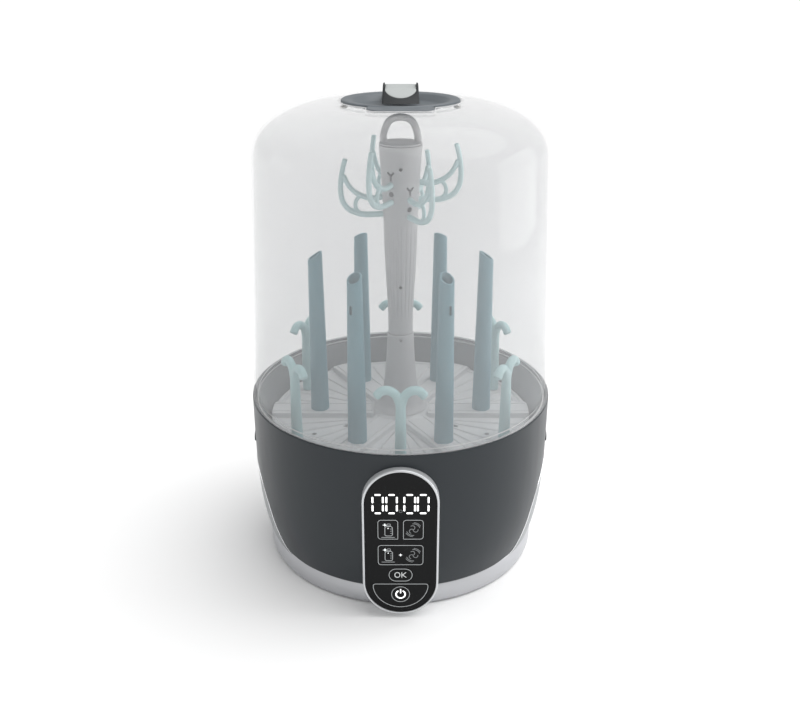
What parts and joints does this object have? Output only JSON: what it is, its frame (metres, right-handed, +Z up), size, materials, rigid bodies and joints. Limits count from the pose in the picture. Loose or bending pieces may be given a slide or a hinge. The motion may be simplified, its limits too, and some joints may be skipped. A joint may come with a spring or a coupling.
{
  "type": "bottle sterilizer",
  "caption": "Countertop steam steriliser and dryer for feeding bottles: round base with upright control panel, peg rack, teat tree and clear lift-off lid.",
  "frame": {"origin": "centre of the round base on the table it stands on", "axes": "+Z up, -Y towards the control panel, +X to the right as seen from the front"},
  "size_m": [0.2638, 0.2694, 0.41],
  "materials": {
    "silver_satin": "satin silver plated plastic ring and bezel",
    "chrome_trim": "bright plated trim strip",
    "slate": "dark slate moulded plastic with a satin sheen",
    "shell_grey": "silver grey moulded plastic",
    "dark_plastic": "dark grey moulded plastic",
    "rubber_black": "soft black rubber",
    "bowl_grey": "mid grey moulded plastic, wet side polished",
    "steel": "spun stainless steel",
    "element": "sheathed heating element",
    "ceramic": "ceramic body",
    "white_plastic": "off white moulded plastic",
    "filter_foam": "pleated filter fleece",
    "circuit_board": "green laminate with parts on it",
    "panel_black": null,
    "display": "seven segment display with white digits",
    "light_grey": "light grey polypropylene, polished",
    "teal": "grey teal polypropylene",
    "aqua": "pale aqua polypropylene",
    "clear": "clear moulded plastic",
    "grip_grey": "light grey soft touch insert"
  },
  "bodies": {
    "base": {"air_heater": "ceramic", "bottom_cover": "dark_plastic", "control_board": "circuit_board", "display_module": "display", "fan_housing": "dark_plastic", "fan_motor": "steel", "foot_ring": "silver_satin", "front_shell": "slate", "grip_cup_left": "dark_plastic", "grip_cup_right": "dark_plastic", "heating_element": "element", "heating_plate": "steel", "inner_bowl": "bowl_grey", "panel_face": "panel_black", "panel_frame": "silver_satin", "power_board": "circuit_board", "power_inlet": "dark_plastic", "rear_shell": "shell_grey", "rubber_foot_1": "rubber_black", "rubber_foot_2": "rubber_black", "rubber_foot_3": "rubber_black", "rubber_foot_4": "rubber_black", "thermostat": "ceramic", "trim_strip": "chrome_trim"},
    "rack": {"rack_tray": "light_grey", "column_base": "light_grey", "peg_1": "teal", "peg_2": "teal", "peg_3": "teal", "peg_4": "teal", "peg_5": "teal", "peg_6": "teal", "hook_1": "aqua", "hook_2": "aqua", "hook_3": "aqua", "hook_4": "aqua", "hook_5": "aqua", "hook_6": "aqua"},
    "tree": {"tree_column": "light_grey", "tree_handle": "light_grey", "holder_1": "aqua", "holder_2": "aqua", "holder_3": "aqua", "holder_4": "aqua", "holder_5": "aqua", "holder_6": "aqua"},
    "lid": {"lid_dome": "clear", "lid_plate": "slate", "lid_handle": "slate", "lid_grip": "grip_grey", "lid_screw_left": "steel", "lid_screw_right": "steel"},
    "fan_impeller": {"fan_impeller": "white_plastic"},
    "air_filter": {"air_filter": "filter_foam"},
    "filter_cover": {"filter_cover": "shell_grey"},
    "key_sterilise": {"key_sterilise": "panel_black"},
    "key_dry": {"key_dry": "panel_black"},
    "key_sterilise_dry": {"key_sterilise_dry": "panel_black"},
    "key_ok": {"key_ok": "panel_black"},
    "key_power": {"key_power": "panel_black"}
  },
  "joints": [
    {"name": "rack_lift", "type": "slide", "parent": "base", "child": "rack", "axis": [0, 0, 1], "range_m": [0, 0.2]},
    {"name": "tree_lift", "type": "slide", "parent": "rack", "child": "tree", "axis": [0, 0, 1], "range_m": [0, 0.08]},
    {"name": "lid_lift", "type": "slide", "parent": "tree", "child": "lid", "axis": [0, 0, 1], "range_m": [0, 0.28]},
    {"name": "filter_slide", "type": "slide", "parent": "base", "child": "air_filter", "axis": [0, 1, 0], "range_m": [0, 0.05]},
    {"name": "filter_cover_pull", "type": "slide", "parent": "air_filter", "child": "filter_cover", "axis": [0, 1, 0], "range_m": [0, 0.03]},
    {"name": "fan_spin", "type": "hinge", "parent": "base", "child": "fan_impeller", "pos_m": [0, 0.036, 0.034], "axis": [0, 0, 1], "continuous": true},
    {"name": "key_sterilise_press", "type": "slide", "parent": "base", "child": "key_sterilise", "axis": [0, 1, 0], "range_m": [0, 0.0008], "stiffness_N_per_m": 800},
    {"name": "key_dry_press", "type": "slide", "parent": "base", "child": "key_dry", "axis": [0, 1, 0], "range_m": [0, 0.0008], "stiffness_N_per_m": 800},
    {"name": "key_sterilise_dry_press", "type": "slide", "parent": "base", "child": "key_sterilise_dry", "axis": [0, 1, 0], "range_m": [0, 0.0008], "stiffness_N_per_m": 800},
    {"name": "key_ok_press", "type": "slide", "parent": "base", "child": "key_ok", "axis": [0, 1, 0], "range_m": [0, 0.0008], "stiffness_N_per_m": 800},
    {"name": "key_power_press", "type": "slide", "parent": "base", "child": "key_power", "axis": [0, 1, 0], "range_m": [0, 0.0008], "stiffness_N_per_m": 800}
  ]
}
